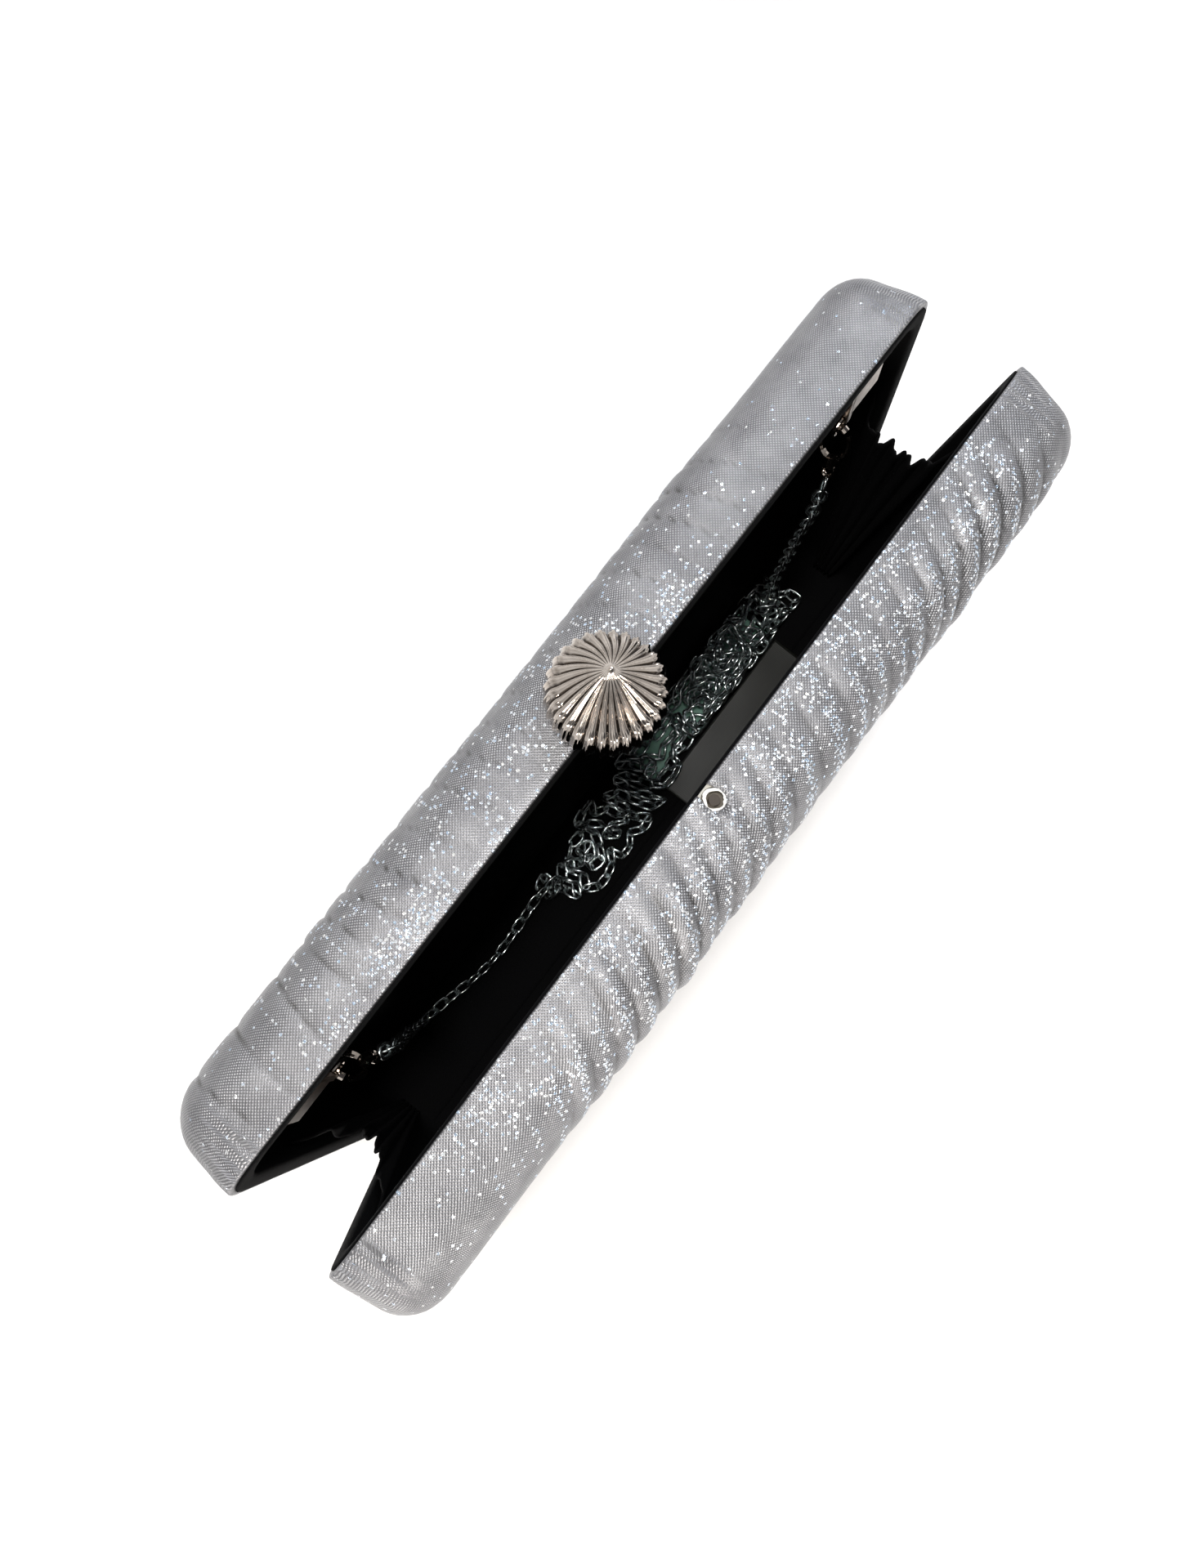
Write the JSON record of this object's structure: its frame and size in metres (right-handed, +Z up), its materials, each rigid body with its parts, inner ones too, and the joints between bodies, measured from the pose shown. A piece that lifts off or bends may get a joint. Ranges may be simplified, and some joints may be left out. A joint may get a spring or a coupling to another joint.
{
  "type": "evening bag",
  "caption": "Box evening bag: two pleated metallic half-shells hinged at the bottom, fluted knob catch, end gussets, lining and a shoulder chain on sprung clasps.",
  "frame": {"origin": "centre of the bag's bottom as it stands open, on the surface it stands on, under the hinge", "axes": "+X along the bag's length, +Y towards the back half that carries the knob, +Z up"},
  "size_m": [0.2, 0.0554, 0.1384],
  "materials": {
    "silver_fabric": "pleated silver lame, satin metallic",
    "foam": "soft foam wadding",
    "board": "moulded fibre board",
    "lining": "black velvet lining",
    "nickel": "polished nickel plate",
    "chain_metal": "polished nickel plate",
    "steel": "plain steel",
    "magnet": "dark sintered magnet",
    "interfacing": "white stiff interfacing",
    "satin": "plain satin label"
  },
  "bodies": {
    "back_half": {"back_shell": "board", "back_padding": "foam", "back_cover": "silver_fabric", "back_lining": "lining", "back_hinge_leaf": "steel", "hinge_pin": "steel", "hinge_tape": "lining", "gusset_right": "lining", "gusset_left": "lining", "knob": "nickel", "knob_base": "nickel", "knob_stud": "steel", "knob_washer": "steel", "closing_magnet": "magnet", "lug_right": "nickel", "lug_left": "nickel", "lug_right_rivet": "steel", "lug_left_rivet": "steel", "link_right": "nickel", "link_left": "nickel", "clasp_right": "nickel", "clasp_left": "nickel", "chain_run_right": "chain_metal", "chain_run_left": "chain_metal", "chain_heap": "chain_metal", "label_back": "satin"},
    "front_half": {"front_shell": "board", "front_padding": "foam", "front_cover": "silver_fabric", "front_lining": "lining", "front_hinge_leaf": "steel", "catch_eyelet": "interfacing", "catch_slug": "steel", "label_front": "satin"},
    "right_gate": {"clasp_gate_right": "nickel"},
    "left_gate": {"clasp_gate_left": "nickel"}
  },
  "joints": [
    {"name": "main_hinge", "type": "hinge", "parent": "back_half", "child": "front_half", "pos_m": [0, 0, 0.00301], "axis": [1, 0, 0], "range_deg": [-9.9, 30], "deforming": ["gusset_right", "gusset_left", "hinge_tape"]},
    {"name": "right_gate_pivot", "type": "hinge", "parent": "back_half", "child": "right_gate", "pos_m": [0.07388, 0.00734, 0.10155], "axis": [-0.8986, 0, 0.4388], "range_deg": [0, 24], "stiffness_Nm_per_rad": 0.002},
    {"name": "left_gate_pivot", "type": "hinge", "parent": "back_half", "child": "left_gate", "pos_m": [-0.07388, 0.00734, 0.10155], "axis": [-0.8986, 0, -0.4388], "range_deg": [0, 24], "stiffness_Nm_per_rad": 0.002}
  ]
}
